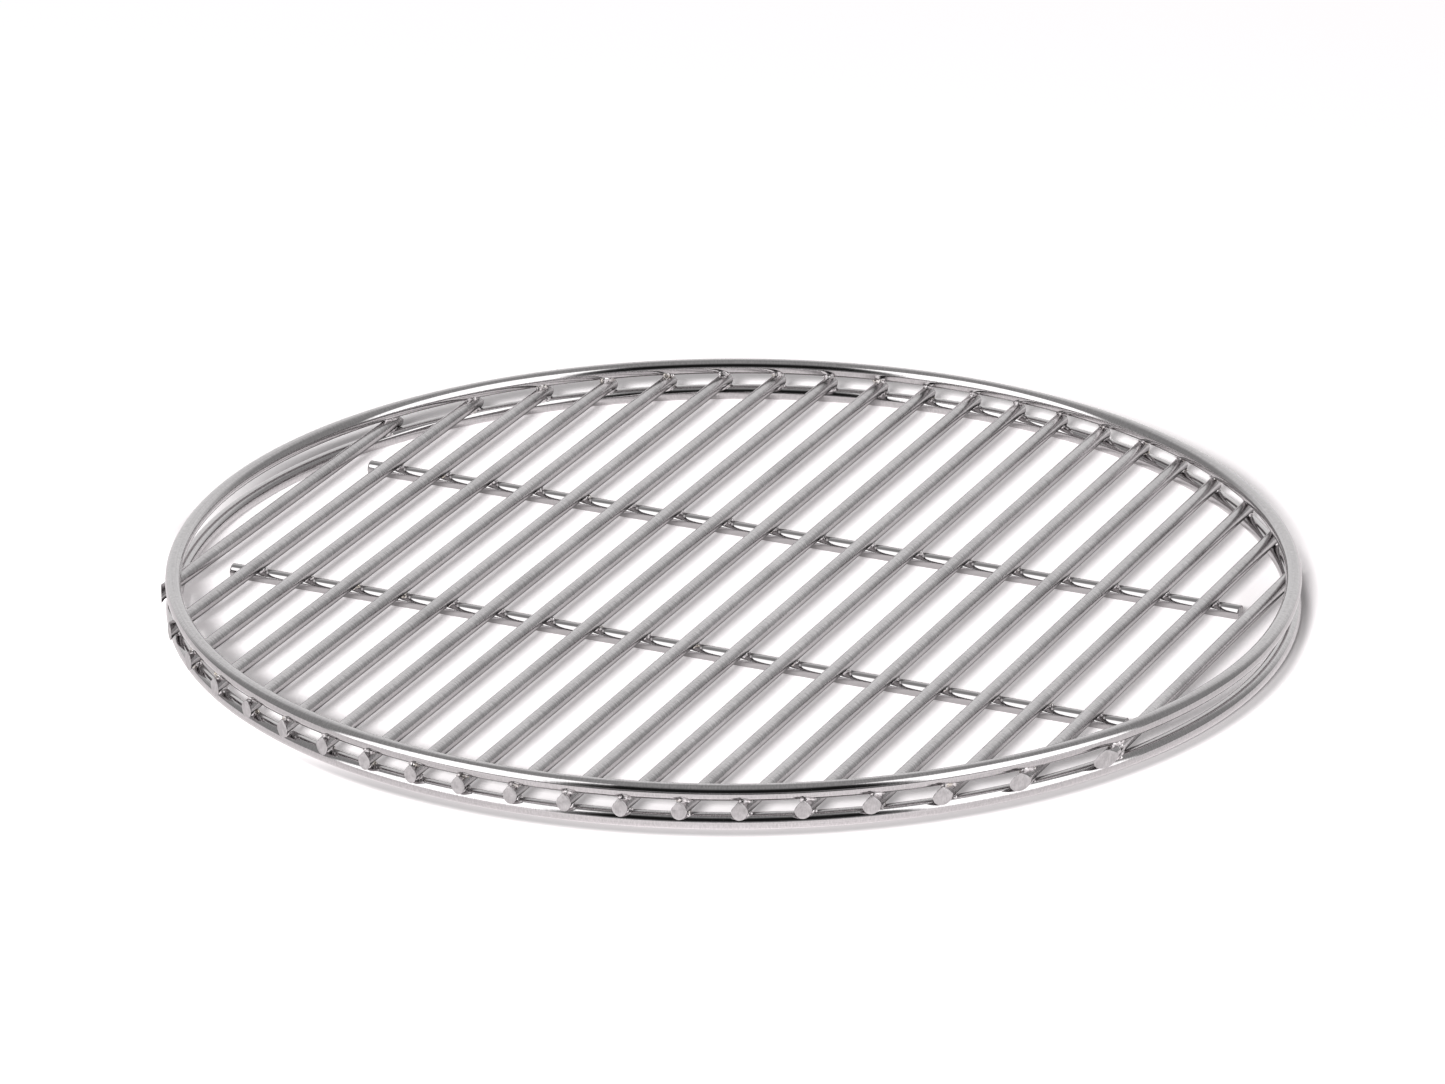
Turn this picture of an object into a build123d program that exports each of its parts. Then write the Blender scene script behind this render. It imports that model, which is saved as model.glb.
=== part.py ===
from build123d import *
import os

# Round welded wire cooling rack.
# Two rim rings clamp a grid of parallel slat wires between them, one ring above and one below.
# Two support bars run across the slats from underneath.
# Frame: +Z up, origin on the resting plane under the centre, slats run along Y and are spaced along X.

# Driving dimensions, millimetres
RIM_OUTER_DIAMETER = 320.0
RIM_WIRE = 4.6
SLAT_WIRE = 4.0
SUPPORT_WIRE = 4.2
SLAT_COUNT = 20
SLAT_PITCH = 15.0
SLAT_FRONT_PROUD = 1.0
SLAT_REAR_SHORT = 1.5
SUPPORT_SPACING = 87.0
SUPPORT_LENGTH = 273.0
WELD_SET_DOWN = 0.2
EDGE_BREAK = 0.3

# Worked out from the driving dimensions
RIM_RADIUS = (RIM_OUTER_DIAMETER - RIM_WIRE) / 2
SLAT_FRONT_RADIUS = RIM_OUTER_DIAMETER / 2 + SLAT_FRONT_PROUD
SLAT_REAR_RADIUS = RIM_OUTER_DIAMETER / 2 - SLAT_REAR_SHORT
RIM_TO_SLAT = (RIM_WIRE + SLAT_WIRE) / 2 - WELD_SET_DOWN
SUPPORT_TO_SLAT = (SUPPORT_WIRE + SLAT_WIRE) / 2 - WELD_SET_DOWN
LOWER_RIM_Z = RIM_WIRE / 2
SLAT_Z = LOWER_RIM_Z + RIM_TO_SLAT
UPPER_RIM_Z = SLAT_Z + RIM_TO_SLAT
SUPPORT_Z = SLAT_Z - SUPPORT_TO_SLAT


def rim_ring(height):
    """One rim: round wire bent into a full circle and butt-welded, its centreline at that height."""
    return Pos(0, 0, height) * Torus(RIM_RADIUS, RIM_WIRE / 2)


def slat_outline():
    """The outline that the slats' ends are cut to: just past the rim in front, inside it at the rear."""
    width = 2 * SLAT_FRONT_RADIUS
    height = 2 * SLAT_WIRE
    half = Box(width, width, height)
    front = Cylinder(SLAT_FRONT_RADIUS, height) & Pos(0, -width / 2, 0) * half
    rear = Cylinder(SLAT_REAR_RADIUS, height) & Pos(0, width / 2, 0) * half
    return front + rear


def slat(x, outline, welded_to):
    """One slat: straight wire along Y, its two ends cut to the rim's curve.

    Each wire that it is welded to has sunk a shallow seat into it, where the two lie face to face.
    """
    wire = Cylinder(SLAT_WIRE / 2, 2 * SLAT_FRONT_RADIUS, rotation=(90, 0, 0))
    return Pos(0, 0, SLAT_Z) * (outline & (Pos(x, 0, 0) * wire)) - welded_to


def support_bar(y):
    """One support: straight wire along X under the slats, cut square inside the rim."""
    wire = Cylinder(SUPPORT_WIRE / 2, SUPPORT_LENGTH, rotation=(0, 90, 0))
    rims_of_ends = wire.edges().filter_by(GeomType.CIRCLE)
    return Pos(0, y, SUPPORT_Z) * chamfer(rims_of_ends, EDGE_BREAK)


def slat_places():
    """The slats' names and places across the rack, evenly spaced about the centre."""
    first = -SLAT_PITCH * (SLAT_COUNT - 1) / 2
    return [(f"slat_{i + 1:02d}", first + i * SLAT_PITCH) for i in range(SLAT_COUNT)]


def main():
    os.makedirs("parts", exist_ok=True)
    cross_wires = {
        "lower_rim_ring": rim_ring(LOWER_RIM_Z),
        "upper_rim_ring": rim_ring(UPPER_RIM_Z),
        "front_support_bar": support_bar(-SUPPORT_SPACING / 2),
        "rear_support_bar": support_bar(SUPPORT_SPACING / 2),
    }
    for name, wire in cross_wires.items():
        export_step(wire, f"parts/{name}.step")
    outline = slat_outline()
    for name, x in slat_places():
        export_step(slat(x, outline, list(cross_wires.values())), f"parts/{name}.step")


main()
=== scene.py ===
import functools
import math

import bpy
from bpy.props import FloatProperty, FloatVectorProperty, IntProperty, PointerProperty
from mathutils import Matrix, Vector, noise


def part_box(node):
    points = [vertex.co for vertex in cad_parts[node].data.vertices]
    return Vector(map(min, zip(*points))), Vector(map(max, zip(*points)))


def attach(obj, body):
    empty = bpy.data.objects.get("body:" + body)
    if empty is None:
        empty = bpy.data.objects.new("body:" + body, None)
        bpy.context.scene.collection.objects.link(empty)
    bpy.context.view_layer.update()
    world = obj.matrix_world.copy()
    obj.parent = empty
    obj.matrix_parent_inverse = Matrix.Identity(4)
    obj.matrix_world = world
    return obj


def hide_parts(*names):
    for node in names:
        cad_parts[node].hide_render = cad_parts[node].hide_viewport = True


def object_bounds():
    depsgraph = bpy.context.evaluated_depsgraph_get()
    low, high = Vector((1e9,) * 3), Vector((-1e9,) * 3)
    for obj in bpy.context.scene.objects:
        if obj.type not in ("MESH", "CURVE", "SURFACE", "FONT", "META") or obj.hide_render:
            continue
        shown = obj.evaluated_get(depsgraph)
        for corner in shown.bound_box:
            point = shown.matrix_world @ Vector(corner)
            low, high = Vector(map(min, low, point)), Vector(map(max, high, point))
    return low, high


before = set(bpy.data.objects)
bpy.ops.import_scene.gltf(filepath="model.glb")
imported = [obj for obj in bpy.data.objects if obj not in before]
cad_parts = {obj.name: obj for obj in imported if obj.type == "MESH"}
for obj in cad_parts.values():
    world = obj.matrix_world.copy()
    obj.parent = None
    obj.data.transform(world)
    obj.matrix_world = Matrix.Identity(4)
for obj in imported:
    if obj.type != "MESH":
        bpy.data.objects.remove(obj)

bl_info = {
    "name": "Round Wire Rack",
    "version": (1, 0, 0),
    "blender": (4, 5, 0),
    "location": "View3D > Sidebar > Wire Rack",
    "description": "Welded stainless wires, weld flash, steel finishes and studio of a round wire rack",
    "category": "Add Mesh",
}

MM = 0.001
TURN = 2 * math.pi
BODY = "root"
GRAIN_MAP = "wire_length"
CAD_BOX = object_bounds()

RINGS = {"lower_rim": "lower_rim_ring", "upper_rim": "upper_rim_ring"}
SUPPORTS = {"front_support": "front_support_bar", "rear_support": "rear_support_bar"}
SLATS = sorted(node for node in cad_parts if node.startswith("slat_"))


# Sizes read from the frame


@functools.cache
def box(node):
    """The low and high corners of a CAD node's box."""
    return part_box(node)


def middle(node):
    """The centre of a CAD node's box."""
    low, high = box(node)
    return (low + high) / 2


def span(node):
    """The size of a CAD node's box."""
    low, high = box(node)
    return high - low


RIM_WIRE = span(RINGS["upper_rim"]).z
RIM_RADIUS = (max(span(RINGS["upper_rim"]).xy) - RIM_WIRE) / 2
SLAT_WIRE = span(SLATS[0]).x
SUPPORT_WIRE = span(SUPPORTS["front_support"]).y


def trim_radius(side):
    """How far from the centre the slats are cut at the front, -1, or rear, 1, from the longest slat's end."""
    node = SLATS[len(SLATS) // 2]
    inner_edge = abs(middle(node).x) - SLAT_WIRE / 2
    return math.hypot(box(node)[0 if side < 0 else 1].y, inner_edge)


TRIM_RADIUS = {side: trim_radius(side) for side in (-1, 1)}


# What a user would change


class WireSettings(bpy.types.PropertyGroup):
    """How the wires are drawn, bent and cut."""

    sides: IntProperty(name="Sides", description="Faces round a wire", default=32, min=12, max=96)
    step: FloatProperty(
        name="Row Length",
        description="Length of a row of faces along a straight wire",
        default=3 * MM,
        min=0.5 * MM,
        unit="LENGTH",
    )
    rim_rows: IntProperty(name="Rim Rows", description="Rows of faces round a rim ring", default=432, min=64)
    waver: FloatProperty(
        name="Waver",
        description="How far a slat strays sideways from its even place",
        default=0.22 * MM,
        min=0.0,
        unit="LENGTH",
    )
    row_shift: FloatProperty(
        name="Row Shift",
        description="How far right of the middle the whole row of slats was welded",
        default=0.24 * MM,
        unit="LENGTH",
    )
    row_turn: FloatProperty(
        name="Row Turn",
        description="How far off square the whole row of slats was welded",
        default=math.radians(-0.13),
        subtype="ANGLE",
    )
    row_spread: FloatProperty(
        name="Row Spread",
        description="Share by which the row of slats was welded wider than drawn",
        default=0.0020,
    )
    flare: FloatProperty(
        name="End Flare",
        description="How far a slat's cut end is mushroomed past the wire",
        default=0.04 * MM,
        min=0.0,
        unit="LENGTH",
    )
    edge: FloatProperty(
        name="Cut Edge",
        description="Radius that rounds the edge of a cut end",
        default=0.12 * MM,
        min=0.0,
        unit="LENGTH",
    )
    joint_bump: FloatProperty(
        name="Butt Weld",
        description="Height of the dressed butt weld that closes a rim ring",
        default=0.11 * MM,
        min=0.0,
        unit="LENGTH",
    )


class WeldSettings(bpy.types.PropertyGroup):
    """The flash that resistance welding leaves at every crossing."""

    gap: FloatProperty(
        name="Flash Height",
        description="Gap between two crossing wires that the flash fills",
        default=0.85 * MM,
        min=0.1 * MM,
        unit="LENGTH",
    )
    roughness: FloatProperty(
        name="Flash Waver",
        description="How far the flash swells and shrinks round a weld",
        default=0.45 * MM,
        min=0.0,
        unit="LENGTH",
    )
    bead: FloatProperty(
        name="Bead Radius",
        description="Radius of the beads that spit out of a weld",
        default=0.52 * MM,
        min=0.05 * MM,
        unit="LENGTH",
    )
    tint: FloatVectorProperty(
        name="Heat Tint",
        description="Straw colour that welding heat leaves on the flash",
        default=(0.56, 0.50, 0.38),
        subtype="COLOR",
        min=0.0,
        max=1.0,
    )


class SteelSettings(bpy.types.PropertyGroup):
    """Colours and gloss of the stainless steel."""

    colour: FloatVectorProperty(
        name="Steel",
        description="What bare stainless steel reflects head on",
        default=(0.552, 0.535, 0.540),
        subtype="COLOR",
        min=0.0,
        max=1.0,
    )
    slat_gloss: FloatProperty(
        name="Slat Roughness",
        description="Roughness of the satin slat wire",
        default=0.20,
        min=0.0,
        max=1.0,
        subtype="FACTOR",
    )
    rim_gloss: FloatProperty(
        name="Rim Roughness",
        description="Roughness of the polished rim wire",
        default=0.07,
        min=0.0,
        max=1.0,
        subtype="FACTOR",
    )
    support_gloss: FloatProperty(
        name="Support Roughness",
        description="Roughness of the bright support wire",
        default=0.09,
        min=0.0,
        max=1.0,
        subtype="FACTOR",
    )


class StudioSettings(bpy.types.PropertyGroup):
    """The camera, the floor and the lights."""

    azimuth: FloatProperty(
        name="Azimuth",
        description="Turn of the camera from the front towards the right",
        default=math.radians(24.39),
        subtype="ANGLE",
    )
    elevation: FloatProperty(
        name="Elevation",
        description="Height of the camera above the horizon",
        default=math.radians(22.13),
        subtype="ANGLE",
    )
    roll: FloatProperty(
        name="Roll",
        description="Turn of the camera about its own axis",
        default=math.radians(-0.17),
        subtype="ANGLE",
    )
    distance: FloatProperty(
        name="Distance",
        description="From the camera to the point that it looks at",
        default=2241 * MM,
        unit="LENGTH",
    )
    aim: FloatVectorProperty(
        name="Aim",
        description="Where the camera looks, from the middle of the slats",
        default=(-14.1 * MM, 23.7 * MM, 0.0),
        subtype="TRANSLATION",
    )
    lens: FloatProperty(
        name="Lens",
        description="Focal length in millimetres",
        default=195.6,
        min=10.0,
        unit="CAMERA",
    )
    glow: FloatProperty(
        name="Glow",
        description="Light that the lit table gives by itself",
        default=0.35,
        min=0.0,
    )
    floor_colour: FloatVectorProperty(
        name="Floor",
        description="Colour of the floor",
        default=(0.90, 0.868, 0.877),
        subtype="COLOR",
        min=0.0,
        max=1.0,
    )
    key: FloatProperty(
        name="Key",
        description="Light that the strip lamp throws on the floor",
        default=0.77,
        min=0.0,
    )
    fill: FloatProperty(
        name="Fill",
        description="Light that falls on the floor from all round",
        default=0.06,
        min=0.0,
    )


# Meshes


def grid_faces(rows, sides, closed):
    """Quads between neighbouring rows of points; closed joins the last row to the first."""
    faces = []
    for i in range(rows if closed else rows - 1):
        here = i * sides
        there = ((i + 1) % rows) * sides
        for j in range(sides):
            k = (j + 1) % sides
            faces.append((here + j, here + k, there + k, there + j))
    return faces


def mesh_object(name, points, faces, grain=None, face_slots=None):
    """A smooth mesh object. grain gives each face corner its place along and around the wire, in metres."""
    mesh = bpy.data.meshes.new(name)
    mesh.from_pydata(points, [], faces)
    mesh.validate()
    mesh.shade_smooth()
    if grain:
        layer = mesh.uv_layers.new(name=GRAIN_MAP)
        layer.data.foreach_set("uv", [value for corner in grain for value in corner])
    if face_slots:
        mesh.polygons.foreach_set("material_index", face_slots)
    piece = bpy.data.objects.new(name, mesh)
    bpy.context.scene.collection.objects.link(piece)
    return piece


def place(piece, slot, *materials, node=None):
    """Hands a finished piece to the frame with its materials."""
    for material in materials:
        piece.data.materials.append(material)
    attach(piece, BODY)
    if node:
        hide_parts(node)


# Rim rings

JOINT_SPREAD = 1.1 * MM
JOINT_TURNS = {"lower_rim": math.radians(-62.0), "upper_rim": math.radians(-77.0)}


def rim_points(height, settings, joint_turn):
    """Rows of points round a rim ring. The dressed butt weld swells it a little at joint_turn."""
    points = []
    for i in range(settings.rim_rows):
        turn = TURN * i / settings.rim_rows
        out = Vector((math.cos(turn), math.sin(turn), 0))
        away = (turn - joint_turn + math.pi) % TURN - math.pi
        bump = settings.joint_bump * math.exp(-((away * RIM_RADIUS / JOINT_SPREAD) ** 2))
        for j in range(settings.sides):
            round_wire = TURN * j / settings.sides
            lean = out * math.cos(round_wire) + Vector((0, 0, math.sin(round_wire)))
            points.append(out * RIM_RADIUS + Vector((0, 0, height)) + lean * (RIM_WIRE / 2 + bump))
    return points


def rim_grain(rows, sides):
    """Each face corner's place along and around a rim wire."""
    length = TURN * RIM_RADIUS / rows
    width = math.pi * RIM_WIRE / sides
    corners = []
    for i in range(rows):
        for j in range(sides):
            corners += [(i * length, j * width), (i * length, (j + 1) * width)]
            corners += [((i + 1) * length, (j + 1) * width), ((i + 1) * length, j * width)]
    return corners


def build_rim(name, node, joint_turn, material, settings):
    """One rim ring as a fine mesh in the CAD ring's place."""
    points = rim_points(middle(node).z, settings, joint_turn)
    faces = grid_faces(settings.rim_rows, settings.sides, True)
    grain = rim_grain(settings.rim_rows, settings.sides)
    piece = mesh_object(name, points, faces, grain)
    place(piece, "rim_wire", material, node=node)


# Straight wires

DRIFT_ROWS = (0.0, 9.0, 21.0)


def slat_drift(number, y, settings):
    """How far slat number strays sideways at y: the row's own error, then a small skew and bow of its own."""
    reach = y / RIM_RADIUS
    skew, bow, shift = (noise.noise(Vector((number * 3.7, 0.5, row))) for row in DRIFT_ROWS)
    row = settings.row_shift - settings.row_turn * y + settings.row_spread * middle(SLATS[number]).x
    return row + settings.waver * (1.6 * skew * reach + 0.8 * bow * reach * reach + shift)


def slat_x(number, y, settings):
    """The slat's centre across the rack at y."""
    return middle(SLATS[number]).x + slat_drift(number, y, settings)


EDGE_ROWS = 3
END_SHAPE = ((0.4 * MM, 0.9), (0.9 * MM, 0.6), (1.5 * MM, 0.25), (2.2 * MM, 0.06), (3.0 * MM, 0.0))


def end_rows(radius, edge, flare):
    """(inset along the wire, radius, share of the end's shape) of an end's rows, from the face inwards."""
    rows = []
    for k in range(EDGE_ROWS):
        lean = math.pi / 2 * k / (EDGE_ROWS - 1)
        rows.append((edge * (1 - math.sin(lean)), radius + flare - edge * (1 - math.sin(lean)), 1.0))
    rows = [(edge * k / (EDGE_ROWS - 1), size, share) for k, (_, size, share) in enumerate(rows)]
    for inset, share in END_SHAPE:
        rows.append((edge + inset, radius + flare * share, share))
    return rows


NECK_PINCH = 0.50
NECK_HEIGHT = 0.20
BELLY_DROP = 0.32


def section(turn, size, share, squash):
    """A point of a wire's section, (sideways, up). At share 1 a squashed end is pear-shaped."""
    rise = math.sin(turn)
    neck = max(0.0, rise) ** 1.4
    wide = 1 - squash * share * (0.01 + NECK_PINCH * neck)
    tall = 1 + squash * share * (BELLY_DROP if rise < 0 else NECK_HEIGHT)
    return math.cos(turn) * size * wide, rise * size * tall


def straight_wire(name, radius, across, centre, end, settings, flare=0.0, squash=0.0, face_noise=0.0):
    """A straight wire along one axis with shaped ends and closed cut faces.

    centre(t) is the axis point at t along it, and end(side, offset) gives how far the end on that side
    reaches for a point that stands offset off the axis. squash turns the round section into a pear at the
    cut ends. The ends' faces and edges take the second material.
    """
    up = Vector((0, 0, 1))
    sides = settings.sides
    shaping = end_rows(radius, settings.edge, flare)
    start = -(end(-1, 0.0) - shaping[-1][0])
    length = end(1, 0.0) - shaping[-1][0] - start
    count = max(2, round(length / settings.step))
    stations = [(-1, *row) for row in shaping]
    stations += [(0, start + length * k / count, radius, 0.0) for k in range(1, count)]
    stations += [(1, *row) for row in reversed(shaping)]
    points = []
    lengths = []
    for side, value, size, share in stations:
        for j in range(sides):
            offset, rise = section(TURN * j / sides, size, share, squash)
            t = side * (end(side, offset) - value) if side else value
            points.append(centre(t) + across * offset + up * rise)
        lengths.append(side * (end(side, 0.0) - value) if side else value)
    rows = len(stations)
    faces = grid_faces(rows, sides, False)
    width = math.pi * 2 * radius / sides
    grain = []
    for i in range(rows - 1):
        for j in range(sides):
            grain += [(lengths[i], j * width), (lengths[i], (j + 1) * width)]
            grain += [(lengths[i + 1], (j + 1) * width), (lengths[i + 1], j * width)]
    edge_faces = (EDGE_ROWS - 1) * sides
    face_slots = [1] * edge_faces + [0] * (len(faces) - 2 * edge_faces) + [1] * edge_faces
    for side, first in ((-1, 0), (1, (rows - 1) * sides)):
        cap_faces, cap_grain = cap(
            points, first, side, across, up, shaping[0][1], sides, centre, end, squash, face_noise
        )
        faces += cap_faces
        grain += cap_grain
        face_slots += [1] * len(cap_faces)
    return mesh_object(name, points, faces, grain, face_slots)


CAP_RINGS = (0.8, 0.55, 0.28)
FACE_GRAIN = 0.7 * MM


def cap(points, first, side, across, up, radius, sides, centre, end, squash, face_noise):
    """Closes one cut end with rings of faces inside its edge, adding their points."""
    ring = list(range(first, first + sides))
    faces = []
    grain = []
    last_share = 1.0
    for share in CAP_RINGS:
        new_ring = []
        for j in range(sides):
            offset, rise = section(TURN * j / sides, radius * share, 1.0, squash)
            rough = noise.noise(Vector((offset, rise, points[first].x)) / FACE_GRAIN) * face_noise
            new_ring.append(len(points))
            t = side * (end(side, offset) + rough)
            points.append(centre(t) + across * offset + up * rise)
        for j in range(sides):
            k = (j + 1) % sides
            quad = (ring[j], ring[k], new_ring[k], new_ring[j])
            corner_shares = ((j, last_share), (k, last_share), (k, share), (j, share))
            corners = [face_place(index, size * radius, sides) for index, size in corner_shares]
            if side < 0:
                quad, corners = quad[::-1], corners[::-1]
            faces.append(quad)
            grain += corners
        ring, last_share = new_ring, share
    hub = len(points)
    points.append(centre(side * end(side, 0.0)))
    for j in range(sides):
        k = (j + 1) % sides
        triangle = (ring[j], ring[k], hub)
        corners = [face_place(j, last_share * radius, sides), face_place(k, last_share * radius, sides)]
        corners.append((0.0, 0.0))
        if side < 0:
            triangle, corners = triangle[::-1], corners[::-1]
        faces.append(triangle)
        grain += corners
    return faces, grain


def face_place(index, size, sides):
    """A corner's place on a cut face."""
    turn = TURN * index / sides
    return (math.cos(turn) * size, math.sin(turn) * size)


SLAT_FACE_NOISE = 0.10 * MM
SUPPORT_FACE_NOISE = 0.05 * MM


def build_slat(number, materials, settings):
    """One slat along Y, its ends cut to the rim's curve."""
    node = SLATS[number]
    place_x = middle(node).x
    height = middle(node).z

    def centre(t):
        return Vector((slat_x(number, t, settings), t, height))

    def end(side, offset):
        return math.sqrt(TRIM_RADIUS[side] ** 2 - (place_x + offset) ** 2)

    piece = straight_wire(
        f"{node}_wire",
        SLAT_WIRE / 2,
        Vector((1, 0, 0)),
        centre,
        end,
        settings,
        flare=settings.flare,
        squash=1.0,
        face_noise=SLAT_FACE_NOISE,
    )
    place(piece, "slat_wire", *materials, node=node)


def build_support(name, node, materials, settings):
    """One support bar along X with square cut ends."""
    place_y, height = middle(node).y, middle(node).z
    half = span(node).x / 2

    def centre(t):
        return Vector((t, place_y, height))

    piece = straight_wire(
        f"{name}_wire",
        SUPPORT_WIRE / 2,
        Vector((0, -1, 0)),
        centre,
        lambda side, offset: half,
        settings,
        face_noise=SUPPORT_FACE_NOISE,
    )
    place(piece, "support_wire", *materials, node=node)


# Weld flash


def surface_drop(offset, radius):
    """How far a round wire's surface falls away at offset from its crest."""
    inside = min(abs(offset), radius * 0.98)
    return radius - math.sqrt(radius**2 - inside**2)


def off_axis(spot, way):
    """How far a spot beside a weld's centre is from the axis of a wire that runs that way."""
    return (spot - way * spot.dot(way)).length


FLASH_NEAR, FLASH_FAR, FLASH_STEP = 0.2 * MM, 3.2 * MM, 0.04 * MM


def flash_reach(heading, slat_way, cross_way, cross_radius, gap):
    """How far out from a weld's centre the flash reaches on that heading."""
    reach = FLASH_NEAR
    while reach < FLASH_FAR:
        spot = heading * reach
        slat_drop = surface_drop(off_axis(spot, slat_way), SLAT_WIRE / 2)
        if slat_drop + surface_drop(off_axis(spot, cross_way), cross_radius) > gap:
            break
        reach += FLASH_STEP
    return reach


FLASH_SIDES = 28
FLASH_ROWS = (-1.0, -0.6, -0.2, 0.2, 0.6, 1.0)
FLASH_ROOT = 0.30 * MM
FLASH_WAIST = 0.10 * MM
FLASH_PULL = 0.55


def add_flash(points, faces, contact, slat_above, slat_way, cross_way, cross_radius, seed, settings):
    """Adds one weld's flash: a wavering collar that fills the gap round two crossing wires."""
    first = len(points)
    up = Vector((0, 0, 1))
    side_way = up.cross(slat_way)
    for k, level in enumerate(FLASH_ROWS):
        for j in range(FLASH_SIDES):
            turn = TURN * j / FLASH_SIDES
            heading = slat_way * math.cos(turn) + side_way * math.sin(turn)
            drift = noise.noise(Vector((math.cos(turn) * 1.6, math.sin(turn) * 1.6, seed * 5.3)))
            swell = noise.noise(Vector((math.cos(turn) * 3.1, math.sin(turn) * 3.1, seed * 2.9 + level)))
            gap = settings.gap * (1 + 0.45 * drift)
            reach = flash_reach(heading, slat_way, cross_way, cross_radius, gap)
            reach += settings.roughness * swell * (1 - level**2) - FLASH_WAIST * (1 - level**2)
            spot = heading * reach
            slat_rise = surface_drop(off_axis(spot, slat_way), SLAT_WIRE / 2) + FLASH_ROOT
            cross_fall = surface_drop(off_axis(spot, cross_way), cross_radius) + FLASH_ROOT
            top, bottom = (slat_rise, -cross_fall) if slat_above else (cross_fall, -slat_rise)
            share = (level + 1) / 2
            pull = FLASH_PULL if abs(level) == 1.0 else 1.0
            points.append(contact + spot * pull + up * (bottom + (top - bottom) * share))
    rows = len(FLASH_ROWS)
    faces += [tuple(first + index for index in face) for face in grid_faces(rows, FLASH_SIDES, False)]
    faces.append(tuple(first + j for j in reversed(range(FLASH_SIDES))))
    faces.append(tuple(first + (rows - 1) * FLASH_SIDES + j for j in range(FLASH_SIDES)))


BEAD_RINGS = 7
BEAD_SIDES = 12
BEAD_CRINKLE = 0.42


def add_bead(points, faces, centre, radius, seed):
    """Adds one crinkled bead of spat metal."""
    first = len(points)
    for i in range(1, BEAD_RINGS):
        polar = math.pi * i / BEAD_RINGS
        around = math.sin(polar)
        for j in range(BEAD_SIDES):
            turn = TURN * j / BEAD_SIDES
            way = Vector((around * math.cos(turn), around * math.sin(turn), math.cos(polar)))
            crinkle = 1 + BEAD_CRINKLE * noise.noise(way * 1.9 + Vector((seed * 1.7, seed * 0.3, 0)))
            points.append(centre + way * radius * crinkle)
    rows = BEAD_RINGS - 1
    faces += [tuple(first + index for index in face[::-1]) for face in grid_faces(rows, BEAD_SIDES, False)]
    faces.append(tuple(first + j for j in range(BEAD_SIDES)))
    faces.append(tuple(first + (rows - 1) * BEAD_SIDES + j for j in reversed(range(BEAD_SIDES))))


BEADS_PER_WELD = 4
REAR_BEAD_GAPS = 0.3
CHANCE_ROW, LEAN_ROW, SIZE_ROW = 0.5, 4.5, 8.5


def bead_draw(seed, bead, row):
    """A number from 0 to 1 that is always the same for that weld, bead and row."""
    return noise.cell(Vector((seed * 7.31, bead * 3.1, row)))


def weld_beads(points, faces, contact, slat_above, slat_way, cross_way, cross_radius, seed, settings):
    """Adds the beads of one weld, in the wedges beside the slat. On the +Y side a few are missing."""
    up = Vector((0, 0, 1))
    side_way = up.cross(slat_way)
    for k in range(BEADS_PER_WELD):
        if k < 2 and bead_draw(seed, k, CHANCE_ROW) < REAR_BEAD_GAPS:
            continue
        side = 1 if k % 2 else -1
        end_side = 1 if k < 2 else -1
        lean = 0.15 + 0.8 * bead_draw(seed, k, LEAN_ROW)
        heading = (side_way * side + slat_way * end_side * lean).normalized()
        reach = flash_reach(heading, slat_way, cross_way, cross_radius, settings.gap) + 0.1 * MM
        spot = heading * reach
        rise = settings.bead * 0.45 - surface_drop(off_axis(spot, cross_way), cross_radius)
        size = settings.bead * (0.75 + 0.5 * bead_draw(seed, k, SIZE_ROW))
        add_bead(points, faces, contact + spot + up * (rise if slat_above else -rise), size, seed + k * 11)


def build_welds(name, slot, crossings, material, settings):
    """The flash and beads of a row of welds, as one piece."""
    points = []
    faces = []
    for crossing in crossings:
        add_flash(points, faces, *crossing, settings)
        weld_beads(points, faces, *crossing, settings)
    place(mesh_object(name, points, faces), slot, material)


def support_crossings(node, settings, first_seed):
    """Every weld between a support bar and the slats that lie on it."""
    place_y = middle(node).y
    half = span(node).x / 2
    found = []
    for number, slat in enumerate(SLATS):
        x = slat_x(number, place_y, settings)
        if abs(x) < half:
            contact = Vector((x, place_y, box(slat)[0].z))
            ways = (Vector((0, 1, 0)), Vector((1, 0, 0)))
            found.append((contact, True, *ways, SUPPORT_WIRE / 2, first_seed + number))
    return found


def rim_crossings(node, side, settings, first_seed):
    """Every weld between a rim ring and the slats' ends on one side, -1 for the front and 1 for the rear."""
    below = middle(node).z < middle(SLATS[0]).z
    found = []
    for number, slat in enumerate(SLATS):
        place_x = middle(slat).x
        y = side * math.sqrt(RIM_RADIUS**2 - place_x**2)
        x = slat_x(number, y, settings)
        low, high = box(slat)
        contact = Vector((x, y, low.z if below else high.z))
        tangent = Vector((-y, x, 0)).normalized()
        found.append((contact, below, Vector((0, 1, 0)), tangent, RIM_WIRE / 2, first_seed + number))
    return found


# Materials


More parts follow.
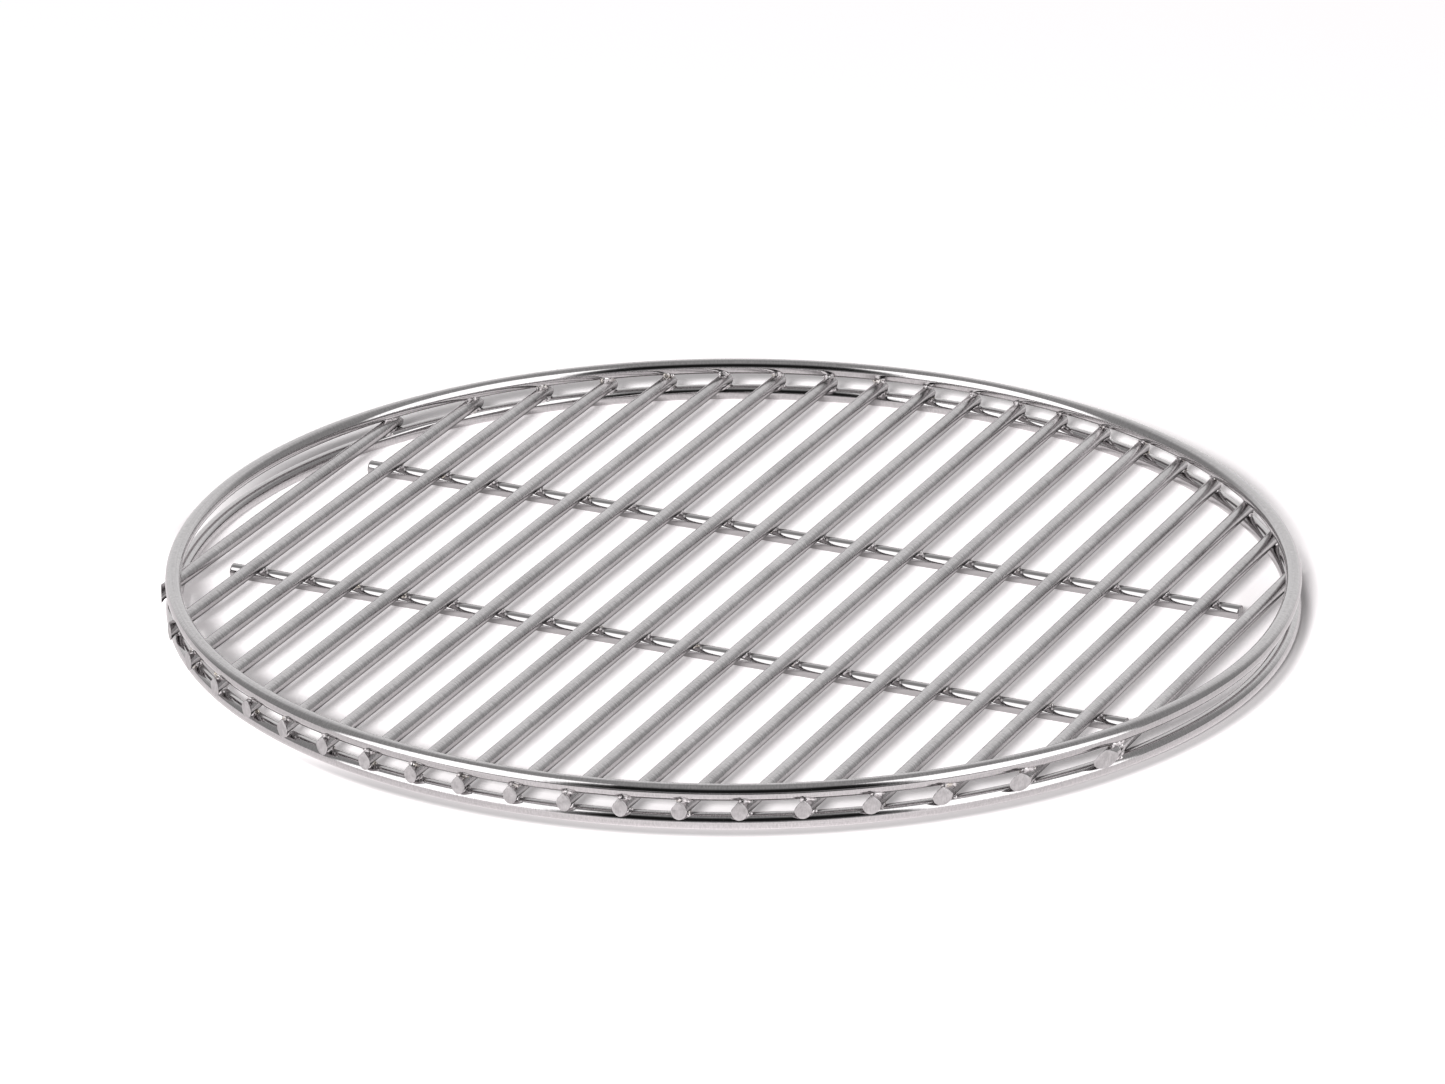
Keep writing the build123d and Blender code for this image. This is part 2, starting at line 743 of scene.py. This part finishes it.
class Nodes:
    """Shorthand for building a node tree."""

    def __init__(self, tree):
        self.tree = tree

    def add(self, kind, inputs=None, **options):
        """Adds a node, sets its options and fills its inputs with values or links."""
        node = self.tree.nodes.new(kind)
        for name, value in options.items():
            setattr(node, name, value)
        for key, value in (inputs or {}).items():
            if isinstance(value, bpy.types.NodeSocket):
                self.tree.links.new(value, node.inputs[key])
            else:
                node.inputs[key].default_value = value
        return node

    def math(self, operation, *values):
        """The result of a Math node."""
        return self.add("ShaderNodeMath", dict(enumerate(values)), operation=operation).outputs[0]

    def product(self, *values):
        """Several values multiplied together."""
        return functools.reduce(functools.partial(self.math, "MULTIPLY"), values)

    def total(self, *values):
        """Several values added together."""
        return functools.reduce(functools.partial(self.math, "ADD"), values)

    def blend(self, first, second, share):
        """The weighted sum of two values: first by share and second by the rest."""
        return self.math("ADD", self.math("MULTIPLY", first, share), self.math("MULTIPLY", second, 1 - share))

    def remap(self, value, low, high, new_low, new_high, smooth=False):
        """A value mapped from one range to another."""
        inputs = {0: value, 1: low, 2: high, 3: new_low, 4: new_high}
        kind = "SMOOTHSTEP" if smooth else "LINEAR"
        return self.add("ShaderNodeMapRange", inputs, interpolation_type=kind).outputs[0]

    def mix(self, share, first, second):
        """Two colours mixed by share."""
        node = self.add("ShaderNodeMix", data_type="RGBA")
        for socket, value in ((node.inputs[0], share), (node.inputs[6], first), (node.inputs[7], second)):
            if isinstance(value, bpy.types.NodeSocket):
                self.tree.links.new(value, socket)
            else:
                socket.default_value = value
        return node.outputs[2]

    def noise(self, vector, scale, detail=3.0, roughness=0.5):
        """A noise texture's value."""
        inputs = {"Vector": vector, "Scale": scale, "Detail": detail, "Roughness": roughness}
        return self.add("ShaderNodeTexNoise", inputs).outputs["Fac"]

    def bump(self, height, depth, normal=None):
        """A bump of that depth in metres."""
        inputs = {"Height": height, "Distance": depth, "Strength": 1.0}
        if normal is not None:
            inputs["Normal"] = normal
        return self.add("ShaderNodeBump", inputs).outputs[0]


WHITE = (1.0, 1.0, 1.0)


def rgba(colour, share=1.0):
    """A colour with its alpha, dimmed by share."""
    return (*(channel * share for channel in colour), 1.0)


def steel(name):
    """A new steel material: its node shorthand, its shader and the material."""
    material = bpy.data.materials.new(name)
    material.use_nodes = True
    nodes = Nodes(material.node_tree)
    shader = material.node_tree.nodes["Principled BSDF"]
    shader.inputs["Metallic"].default_value = 1.0
    return nodes, shader, material


def wire_grain(nodes, along_scale, around_scale):
    """Coordinates in metres along and around the wire, stretched so that one noise makes streaks."""
    uv = nodes.add("ShaderNodeUVMap", uv_map=GRAIN_MAP).outputs[0]
    stretch = {"Vector": uv, "Scale": (along_scale, around_scale, 1.0)}
    return nodes.add("ShaderNodeMapping", stretch).outputs[0]


def drawn_steel(name, colour, gloss, cross, lengthwise, blotch, underside):
    """Drawn wire: cross grain from grinding, faint lines from the die, cloudy patches, and painted shade
    on the underside.

    cross and lengthwise are the depths of the grain and of the die's lines, blotch is how far the tone
    strays from the colour, and underside is the share of the colour that the painted shade leaves below;
    the painted shade darkens the grazing reflection there too.
    """
    nodes, shader, material = steel(name)
    link = material.node_tree.links.new
    here = nodes.add("ShaderNodeTexCoord").outputs["Object"]
    cloudy = nodes.noise(here, 55.0, 4.0)
    grain = nodes.noise(wire_grain(nodes, 2100.0, 330.0), 1.0, 3.0, 0.7)
    fine = nodes.noise(wire_grain(nodes, 9000.0, 1500.0), 1.0, 1.0)
    die = nodes.noise(wire_grain(nodes, 40.0, 4200.0), 1.0, 2.0)
    shade = nodes.blend(cloudy, grain, 0.35)
    dark, light = rgba(colour, 1 - blotch), rgba(colour, 1 + blotch)
    tone = nodes.mix(nodes.remap(shade, 0.3, 0.7, 0.0, 1.0), dark, light)
    # Painted shade: faces that point down get a darker colour and a darker grazing reflection.
    normal = nodes.add("ShaderNodeNewGeometry").outputs["Normal"]
    facing = nodes.add("ShaderNodeSeparateXYZ", {0: normal}).outputs[2]
    painted_shade = nodes.remap(facing, -0.5, 0.15, 1.0, 0.0, True)
    link(nodes.mix(painted_shade, tone, rgba(colour, underside)), shader.inputs["Base Color"])
    edge = 1 - 3 * (1 - underside)
    link(nodes.mix(painted_shade, rgba(WHITE), rgba(WHITE, edge)), shader.inputs["Specular Tint"])
    rough = nodes.blend(grain, cloudy, 0.6)
    link(nodes.remap(rough, 0.3, 0.7, gloss * 0.72, gloss * 1.35), shader.inputs["Roughness"])
    bumps = nodes.bump(grain, cross)
    bumps = nodes.bump(fine, cross * 0.4, normal=bumps)
    bumps = nodes.bump(die, lengthwise, normal=bumps)
    link(bumps, shader.inputs["Normal"])
    return material


def polished_steel(name, colour, gloss):
    """Polished rim wire: mirror-like, with faint lengthwise polishing lines, fine grain and dull spots."""
    nodes, shader, material = steel(name)
    link = material.node_tree.links.new
    here = nodes.add("ShaderNodeTexCoord").outputs["Object"]
    cloudy = nodes.noise(here, 38.0, 4.0)
    lines = nodes.noise(wire_grain(nodes, 22.0, 5200.0), 1.0, 3.0)
    waves = nodes.noise(wire_grain(nodes, 160.0, 260.0), 1.0, 2.0)
    grain = nodes.noise(wire_grain(nodes, 2100.0, 700.0), 1.0, 2.0, 0.7)
    shade = nodes.blend(lines, grain, 0.4)
    dark, light = rgba(colour, 0.80), rgba(colour, 1.12)
    link(nodes.mix(nodes.remap(shade, 0.35, 0.65, 0.0, 1.0), dark, light), shader.inputs["Base Color"])
    link(nodes.remap(cloudy, 0.35, 0.65, gloss * 0.6, gloss * 1.7), shader.inputs["Roughness"])
    bumps = nodes.bump(lines, 0.0012 * MM)
    bumps = nodes.bump(waves, 0.012 * MM, normal=bumps)
    link(bumps, shader.inputs["Normal"])
    return material


def sheared_steel(name, colour):
    """Cut end faces: matte, with the drag lines and pits of a shear."""
    nodes, shader, material = steel(name)
    link = material.node_tree.links.new
    here = nodes.add("ShaderNodeTexCoord").outputs["Object"]
    pits = nodes.noise(here, 2600.0, 4.0, 0.6)
    drag = nodes.noise(wire_grain(nodes, 5200.0, 500.0), 1.0, 2.0)
    smudge = nodes.noise(here, 620.0, 2.0)
    dark, light = rgba(colour, 0.80), rgba(colour, 1.14)
    tone = nodes.blend(nodes.blend(pits, drag, 0.5), smudge, 0.6)
    link(nodes.mix(nodes.remap(tone, 0.4, 0.6, 0.0, 1.0), dark, light), shader.inputs["Base Color"])
    link(nodes.remap(pits, 0.3, 0.7, 0.34, 0.6), shader.inputs["Roughness"])
    bumps = nodes.bump(pits, 0.035 * MM)
    bumps = nodes.bump(drag, 0.012 * MM, normal=bumps)
    link(bumps, shader.inputs["Normal"])
    return material


def weld_steel(name, colour, tint):
    """Weld flash: bright frozen metal, crinkled, with straw-coloured heat tint in patches."""
    nodes, shader, material = steel(name)
    link = material.node_tree.links.new
    here = nodes.add("ShaderNodeTexCoord").outputs["Object"]
    crinkle = nodes.noise(here, 1500.0, 3.0, 0.6)
    patches = nodes.noise(here, 210.0, 2.0)
    heat = nodes.remap(patches, 0.55, 0.72, 0.0, 0.7)
    metal = nodes.mix(nodes.remap(crinkle, 0.3, 0.7, 0.0, 1.0), rgba(colour, 1.2), rgba(colour, 1.8))
    link(nodes.mix(heat, metal, rgba(tint)), shader.inputs["Base Color"])
    link(nodes.remap(crinkle, 0.3, 0.7, 0.14, 0.42), shader.inputs["Roughness"])
    link(nodes.bump(crinkle, 0.05 * MM), shader.inputs["Normal"])
    return material


# Stage

# Painted shade on the table where the steel mirrors it: darker under the rack, dark past an end in front.
UNDER_RACK_SHADE, UNDER_RACK_FADE = 0.15, (0.93, 1.03)
TABLE_END_SHADE, TABLE_END_FADE = 0.93, (1.20, 1.50)

# Painted shade and painted light on the table beside the rack: the shades are a painted shadow of the rack,
# and the glows lighten the table where the rack's shadow should not show. Each has its strength, the
# distances outwards from the rim's centreline between which it fades, and the angles from its way between
# which it dies away.
FRONT_WAY = math.radians(-37.5)
CONTACT_SHADE, CONTACT_FADE, CONTACT_ANGLES = 0.53, (3.2 * MM, 6.6 * MM), (67, 95)
INNER_SHADE, INNER_RISE, INNER_ANGLES = 0.18, (-22.0 * MM, -12.0 * MM), (58, 88)
REAR_WAY = math.radians(166.0)
REAR_SHADE, REAR_FADE, REAR_ANGLES = 0.38, (11.0 * MM, 16.0 * MM), (14, 34)
LEFT_WAY = math.radians(-148.0)
LEFT_GLOW, LEFT_FADE, LEFT_ANGLES = 0.55, (2.0 * MM, 20.0 * MM), (20, 48)
RIGHT_WAY = math.radians(14.0)
RIGHT_GLOW, RIGHT_RISE, RIGHT_ANGLES = 0.32, (5.0 * MM, 11.0 * MM), (22, 46)
RIGHT_FADE = (22.0 * MM, 34.0 * MM)


class Table:
    """Places on the table, as values of its material's nodes."""

    def __init__(self, nodes, here):
        self.nodes = nodes
        self.x, self.y, _ = nodes.add("ShaderNodeSeparateXYZ", {0: here}).outputs
        squares = nodes.total(nodes.product(self.x, self.x), nodes.product(self.y, self.y))
        self.reach = nodes.math("POWER", squares, 0.5)
        turn = nodes.math("SUBTRACT", nodes.math("ARCTAN2", self.y, self.x), FRONT_WAY)
        self.turn = nodes.math("ABSOLUTE", turn)
        self.outside = nodes.math("GREATER_THAN", self.reach, RIM_RADIUS)
        self.inside = nodes.math("SUBTRACT", 1.0, self.outside)

    def band(self, ends, first, last):
        """A value that goes from first to last between two distances outwards from the rim's centreline."""
        low, high = ends
        return self.nodes.remap(self.reach, RIM_RADIUS + low, RIM_RADIUS + high, first, last, True)

    def front(self, angles):
        """1 round the front, dying away to 0 between two angles from FRONT_WAY."""
        full, none = angles
        return self.nodes.remap(self.turn, math.radians(full), math.radians(none), 1.0, 0.0, True)

    def towards(self, way, angles):
        """1 on that way from the centre, dying away to 0 between two angles from it."""
        full, none = (math.cos(math.radians(angle)) for angle in angles)
        along_x = self.nodes.product(self.x, math.cos(way))
        along = self.nodes.total(along_x, self.nodes.product(self.y, math.sin(way)))
        return self.nodes.remap(self.nodes.math("DIVIDE", along, self.reach), none, full, 0.0, 1.0, True)

    def shades(self):
        """The painted shade beside the rack: the share by which the table's colour and glow are darkened."""
        product = self.nodes.product
        contact = product(self.band(CONTACT_FADE, CONTACT_SHADE, 0.0), self.front(CONTACT_ANGLES))
        contact = product(contact, self.outside)
        inner = product(self.band(INNER_RISE, 0.0, INNER_SHADE), self.inside, self.front(INNER_ANGLES))
        rear = product(self.band(REAR_FADE, REAR_SHADE, 0.0), self.towards(REAR_WAY, REAR_ANGLES))
        rear = product(rear, self.outside)
        return self.nodes.total(contact, inner, rear)

    def glows(self):
        """The painted light that the table adds as glow beside the rack."""
        product = self.nodes.product
        left = product(self.band(LEFT_FADE, LEFT_GLOW, 0.0), self.towards(LEFT_WAY, LEFT_ANGLES))
        right = product(self.band(RIGHT_RISE, 0.0, RIGHT_GLOW), self.band(RIGHT_FADE, 1.0, 0.0))
        right = product(right, self.towards(RIGHT_WAY, RIGHT_ANGLES))
        return product(self.nodes.total(left, right), self.outside)


def floor_material(colour, glow, azimuth):
    """A matte pale table, lit from inside, that can't be seen from below, so that the underside can.

    It carries painted shades and painted glows beside the rack. The steel mirrors it without them, but with
    a painted shade under the rack and a painted dark end a little way in front of it.
    """
    material = bpy.data.materials.new("studio_floor")
    material.use_nodes = True
    link = material.node_tree.links.new
    nodes = Nodes(material.node_tree)
    shader = material.node_tree.nodes["Principled BSDF"]
    shader.inputs["Roughness"].default_value = 0.9
    shader.inputs["Specular IOR Level"].default_value = 0.0
    shader.inputs["Emission Color"].default_value = rgba(colour, 1 / colour[0])
    here = nodes.add("ShaderNodeTexCoord").outputs["Object"]
    mirrored = nodes.add("ShaderNodeLightPath").outputs["Is Glossy Ray"]
    direct = nodes.math("SUBTRACT", 1.0, mirrored)
    table = Table(nodes, here)
    # Painted shade and painted glow beside the rack, seen directly but left out of the steel's reflections.
    shades = nodes.product(table.shades(), direct)
    glows = nodes.product(table.glows(), direct)
    paper = nodes.mix(nodes.noise(here, 900.0, 2.0), rgba(colour, 0.985), rgba(colour, 1.0))
    link(nodes.mix(shades, paper, rgba(colour, 0.0)), shader.inputs["Base Color"])
    lit = nodes.product(nodes.math("SUBTRACT", 1.0, shades), glow)
    link(nodes.total(lit, glows), shader.inputs["Emission Strength"])
    # Painted shade in the steel's reflection of the table, under the rack and past an end in front of it.
    forward = nodes.add("ShaderNodeVectorMath", {0: here}, operation="DOT_PRODUCT")
    forward.inputs[1].default_value = (math.sin(azimuth), -math.cos(azimuth), 0.0)
    forward = forward.outputs["Value"]
    low, high = (share * RIM_RADIUS for share in UNDER_RACK_FADE)
    under_rack = nodes.remap(forward, low, high, UNDER_RACK_SHADE, 0.0, True)
    low, high = (share * RIM_RADIUS for share in TABLE_END_FADE)
    table_end = nodes.remap(forward, low, high, 0.0, TABLE_END_SHADE, True)
    painted_shade = nodes.product(nodes.total(under_rack, table_end), mirrored)
    unlit = nodes.add("ShaderNodeEmission", {"Strength": 0.0}).outputs[0]
    seen = nodes.add("ShaderNodeMixShader", {0: painted_shade, 1: shader.outputs[0], 2: unlit}).outputs[0]
    behind = nodes.add("ShaderNodeNewGeometry").outputs["Backfacing"]
    clear = nodes.add("ShaderNodeBsdfTransparent").outputs[0]
    both = nodes.add("ShaderNodeMixShader", {0: behind, 1: seen, 2: clear}).outputs[0]
    link(both, material.node_tree.nodes["Material Output"].inputs["Surface"])
    return material


FLOOR_HALF = 6.0
FLOOR_CLEARANCE = 0.02 * MM


def build_floor(settings):
    """A flat floor that reaches far past every view."""
    height = CAD_BOX[0].z - FLOOR_CLEARANCE
    corners = [(x * FLOOR_HALF, y * FLOOR_HALF, height) for x, y in ((-1, -1), (1, -1), (1, 1), (-1, 1))]
    floor = mesh_object("studio_floor", corners, [(0, 1, 2, 3)])
    floor.data.materials.append(floor_material(settings.floor_colour, settings.glow, settings.azimuth))


# The studio's lights by side, in degrees away from straight behind the rack, and by height above the horizon
CEILING_LEVEL, CEILING_FADE = 0.40, (28, 62)
BACKDROP_LEVELS, BACKDROP_FADE = (0.95, 0.36), (30, 62)
DARK_SHARE, DARK_SIDES, DARK_FOOT, DARK_TOP = 0.96, (148, 200), (1, 15), (42, 72)
BOX_LEVEL, BOX_SIDES, BOX_HEIGHTS = 1.9, (98, 144), (-8, 60)


def build_studio_world(settings):
    """What the steel mirrors: a pale backdrop, a grey ceiling, a dark camera side and two tall soft boxes."""
    world = bpy.data.worlds.new("studio")
    bpy.context.scene.world = world
    world.use_nodes = True
    nodes = Nodes(world.node_tree)
    background = world.node_tree.nodes["Background"]
    coordinates = nodes.add("ShaderNodeTexCoord").outputs["Generated"]
    turned = nodes.add("ShaderNodeVectorRotate", {"Vector": coordinates, "Angle": -settings.azimuth})
    turned.rotation_type = "Z_AXIS"
    x, y, z = nodes.add("ShaderNodeSeparateXYZ", {0: turned.outputs[0]}).outputs
    heading = nodes.math("ARCTAN2", x, y)
    height = nodes.math("ARCSINE", z)
    side = nodes.math("ABSOLUTE", heading)

    def fade(value, ends, first, last):
        low, high = (math.radians(angle) for angle in ends)
        return nodes.remap(value, low, high, first, last, True)

    def window(value, ends, soft):
        low, high = ends
        rise = fade(value, (low - soft, low + soft), 0.0, 1.0)
        return nodes.product(rise, fade(value, (high - soft, high + soft), 1.0, 0.0))

    ceiling = fade(height, CEILING_FADE, 0.0, 1.0)
    backdrop = fade(side, BACKDROP_FADE, *BACKDROP_LEVELS)
    backdrop = nodes.product(backdrop, nodes.math("SUBTRACT", 1.0, ceiling))
    level = nodes.total(backdrop, nodes.product(ceiling, CEILING_LEVEL))
    dark = nodes.product(window(side, DARK_SIDES, 6), fade(height, DARK_TOP, 1.0, 0.0))
    dark = nodes.product(dark, fade(height, DARK_FOOT, 0.0, 1.0), DARK_SHARE)
    level = nodes.product(level, nodes.math("SUBTRACT", 1.0, dark))
    box_light = nodes.product(window(side, BOX_SIDES, 3), window(height, BOX_HEIGHTS, 6))
    level = nodes.total(level, nodes.product(box_light, BOX_LEVEL))
    world.node_tree.links.new(level, background.inputs["Color"])
    world.cycles_visibility.diffuse = False


# The strip lamp's edges, in metres across and along the rack for each metre of its height
STRIP_HEIGHT = 6.0
STRIP_LEFT, STRIP_RIGHT = 0.07, 0.66
STRIP_NEAR, STRIP_FAR = -2.4, -1.8
FILL_ANGLE = math.radians(170.0)


def build_lights(settings):
    """One strip lamp, low on the camera's side and a little to the right, and a weak fill from all round.

    Neither shows in the steel: the studio world is what it mirrors.
    """
    across, along = (STRIP_LEFT + STRIP_RIGHT) / 2, (STRIP_NEAR + STRIP_FAR) / 2
    slant = 1 + across**2 + along**2
    strip = bpy.data.lights.new("near_strip", "AREA")
    strip.shape = "RECTANGLE"
    strip.size = (STRIP_RIGHT - STRIP_LEFT) * STRIP_HEIGHT
    strip.size_y = (STRIP_FAR - STRIP_NEAR) * STRIP_HEIGHT
    strip.energy = settings.key * (math.pi * STRIP_HEIGHT * slant) ** 2
    fill = bpy.data.lights.new("fill", "SUN")
    fill.energy = settings.fill * math.pi
    fill.angle = FILL_ANGLE
    lamps = ((strip, Vector((across, along, 1)) * STRIP_HEIGHT), (fill, Vector((0, 0, STRIP_HEIGHT))))
    for light, spot in lamps:
        lamp = bpy.data.objects.new(light.name, light)
        lamp.location = spot
        lamp.visible_glossy = False
        lamp.visible_camera = False
        bpy.context.scene.collection.objects.link(lamp)


def build_camera(settings):
    """The camera, at the settings' angle on the rack."""
    camera = bpy.data.objects.new("camera", bpy.data.cameras.new("camera"))
    bpy.context.scene.collection.objects.link(camera)
    azimuth, elevation = settings.azimuth, settings.elevation
    back = Vector(
        (
            math.sin(azimuth) * math.cos(elevation),
            -math.cos(azimuth) * math.cos(elevation),
            math.sin(elevation),
        )
    )
    target = Vector((0, 0, middle(SLATS[0]).z)) + Vector(settings.aim)
    camera.location = target + back * settings.distance
    turn = (-back).to_track_quat("-Z", "Y").to_matrix() @ Matrix.Rotation(settings.roll, 3, "Z")
    camera.rotation_euler = turn.to_euler()
    camera.data.lens = settings.lens
    camera.data.sensor_width = 36.0
    camera.data.dof.use_dof = False
    camera.data.clip_end = 50.0
    bpy.context.scene.camera = camera


# Operators and panel

SUPPORT_TONE = 0.88


class RimOperator(bpy.types.Operator):
    """Build the two polished rim rings, each with its dressed butt weld"""

    bl_idname = "wire_rack.rim"
    bl_label = "Rim Rings"

    def execute(self, context):
        scene = context.scene
        material = polished_steel("polished_rim_wire", scene.rack_steel.colour, scene.rack_steel.rim_gloss)
        for name, node in RINGS.items():
            build_rim(name, node, JOINT_TURNS[name], material, scene.rack_wire)
        return {"FINISHED"}


class SlatOperator(bpy.types.Operator):
    """Build the satin slats, their ends cut to the rim's curve"""

    bl_idname = "wire_rack.slats"
    bl_label = "Slats"

    def execute(self, context):
        scene = context.scene
        look = scene.rack_steel
        satin = drawn_steel(
            "satin_slat_wire",
            look.colour,
            look.slat_gloss,
            cross=0.018 * MM,
            lengthwise=0.002 * MM,
            blotch=0.32,
            # Share of the colour left under the painted shade on the underside
            underside=0.72,
        )
        cut = sheared_steel("sheared_slat_end", look.colour)
        for number in range(len(SLATS)):
            build_slat(number, (satin, cut), scene.rack_wire)
        return {"FINISHED"}


class SupportOperator(bpy.types.Operator):
    """Build the two bright support bars"""

    bl_idname = "wire_rack.supports"
    bl_label = "Support Bars"

    def execute(self, context):
        scene = context.scene
        look = scene.rack_steel
        bright = drawn_steel(
            "bright_support_wire",
            [channel * SUPPORT_TONE for channel in look.colour],
            look.support_gloss,
            cross=0.002 * MM,
            lengthwise=0.001 * MM,
            blotch=0.04,
            # Share of the colour left under the painted shade on the underside
            underside=0.9,
        )
        cut = sheared_steel("sheared_support_end", look.colour)
        for name, node in SUPPORTS.items():
            build_support(name, node, (bright, cut), scene.rack_wire)
        return {"FINISHED"}


class WeldOperator(bpy.types.Operator):
    """Build the flash and beads that welding left at every crossing"""

    bl_idname = "wire_rack.welds"
    bl_label = "Weld Flash"

    def execute(self, context):
        scene = context.scene
        settings = scene.rack_weld
        wires = scene.rack_wire
        frozen = weld_steel("weld_flash", scene.rack_steel.colour, settings.tint)
        for number, (name, node) in enumerate(SUPPORTS.items()):
            crossings = support_crossings(node, wires, 100 * (number + 1))
            build_welds(f"{name}_welds", "support_wire", crossings, frozen, settings)
        for number, (name, node) in enumerate(RINGS.items()):
            for side, word in ((-1, "front"), (1, "rear")):
                crossings = rim_crossings(node, side, wires, 100 * (number + 3) + 50 * (side + 1))
                build_welds(f"{name}_{word}_welds", "rim_wire", crossings, frozen, settings)
        return {"FINISHED"}


class StageOperator(bpy.types.Operator):
    """Build the floor, the studio that the steel mirrors, the soft lights and the camera"""

    bl_idname = "wire_rack.stage"
    bl_label = "Studio"

    def execute(self, context):
        settings = context.scene.rack_studio
        build_floor(settings)
        build_studio_world(settings)
        build_lights(settings)
        build_camera(settings)
        context.scene.view_settings.view_transform = "Standard"
        context.scene.view_settings.look = "None"
        return {"FINISHED"}


OPERATORS = (RimOperator, SlatOperator, SupportOperator, WeldOperator, StageOperator)


class RackPanel(bpy.types.Panel):
    """Lists the rack's build steps and settings"""

    bl_idname = "VIEW3D_PT_wire_rack"
    bl_label = "Wire Rack"
    bl_space_type = "VIEW_3D"
    bl_region_type = "UI"
    bl_category = "Wire Rack"

    def draw(self, context):
        for operator in OPERATORS:
            self.layout.operator(operator.bl_idname)
        for name in SETTINGS:
            group = getattr(context.scene, name)
            rows = self.layout.box()
            for key in group.__annotations__:
                rows.prop(group, key)


SETTINGS = {
    "rack_wire": WireSettings,
    "rack_weld": WeldSettings,
    "rack_steel": SteelSettings,
    "rack_studio": StudioSettings,
}
CLASSES = (*SETTINGS.values(), *OPERATORS, RackPanel)


def register():
    for cls in CLASSES:
        bpy.utils.register_class(cls)
    for name, group in SETTINGS.items():
        setattr(bpy.types.Scene, name, PointerProperty(type=group))


def unregister():
    for name in SETTINGS:
        delattr(bpy.types.Scene, name)
    for cls in reversed(CLASSES):
        bpy.utils.unregister_class(cls)


def main():
    register()
    bpy.ops.wire_rack.rim()
    bpy.ops.wire_rack.slats()
    bpy.ops.wire_rack.supports()
    bpy.ops.wire_rack.welds()
    bpy.ops.wire_rack.stage()


if __name__ == "__main__":
    main()
